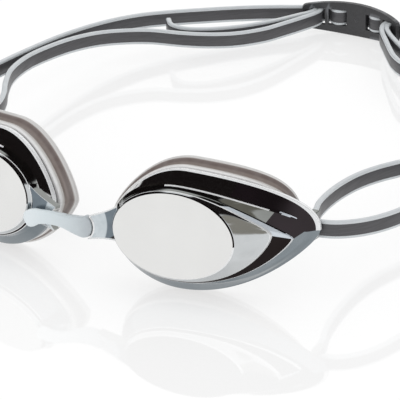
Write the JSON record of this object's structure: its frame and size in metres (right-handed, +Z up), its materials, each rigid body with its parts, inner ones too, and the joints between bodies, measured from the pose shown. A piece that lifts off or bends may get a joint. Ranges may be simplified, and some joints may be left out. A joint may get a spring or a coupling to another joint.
{
  "type": "swim goggles",
  "caption": "Racing swim goggles with mirrored eye cups, soft gaskets, a flexible nose piece and a folded band that closes in a rear clip.",
  "frame": {"origin": "centre of the bounding box, on the surface that the goggles rest on", "axes": "+X to the viewer's right seen from the front, lenses facing -Y, +Z up with the goggles resting on the gaskets and the rear clip"},
  "size_m": [0.1814, 0.1964, 0.0397],
  "materials": {
    "mirror_coating": "polycarbonate with a silver mirror coating",
    "gasket_silicone": "pearly translucent grey-beige silicone",
    "nose_tpu": "milky translucent flexible plastic",
    "band_silicone": "satin dark grey silicone with pale bluish-grey edges",
    "clip_plastic": "satin dark grey moulded plastic"
  },
  "bodies": {
    "nose": {"nose_piece": "nose_tpu"},
    "left_cup": {"left_eye_cup": "mirror_coating", "left_gasket": "gasket_silicone"},
    "right_cup": {"right_eye_cup": "mirror_coating", "right_gasket": "gasket_silicone"},
    "left_band": {"left_strap": "band_silicone"},
    "right_band": {"right_strap": "band_silicone", "rear_clip": "clip_plastic"}
  },
  "joints": [
    {"name": "left_cup_swing", "type": "hinge", "parent": "nose", "child": "left_cup", "pos_m": [-0.00927, -0.09268, 0.0199], "axis": [0, 0.1054, 0.9944], "range_deg": [-4, 5], "stiffness_Nm_per_rad": 0.3},
    {"name": "right_cup_swing", "type": "hinge", "parent": "nose", "child": "right_cup", "pos_m": [0.00633, -0.09268, 0.0199], "axis": [0, 0.1054, 0.9944], "range_deg": [-5, 4], "stiffness_Nm_per_rad": 0.3},
    {"name": "left_band_swing", "type": "hinge", "parent": "left_cup", "child": "left_band", "pos_m": [-0.07177, -0.06723, 0.02317], "axis": [0, 0.1054, 0.9944], "range_deg": [-6, 5]},
    {"name": "right_band_swing", "type": "hinge", "parent": "right_cup", "child": "right_band", "pos_m": [0.06883, -0.06723, 0.02317], "axis": [0, 0.1054, 0.9944], "range_deg": [-5, 6]}
  ],
  "couplings": [
    {"joint": "right_cup_swing", "follows": "left_cup_swing", "ratio": -1},
    {"joint": "left_band_swing", "follows": "left_cup_swing", "ratio": -1.156},
    {"joint": "right_band_swing", "follows": "left_cup_swing", "ratio": 1.156}
  ]
}
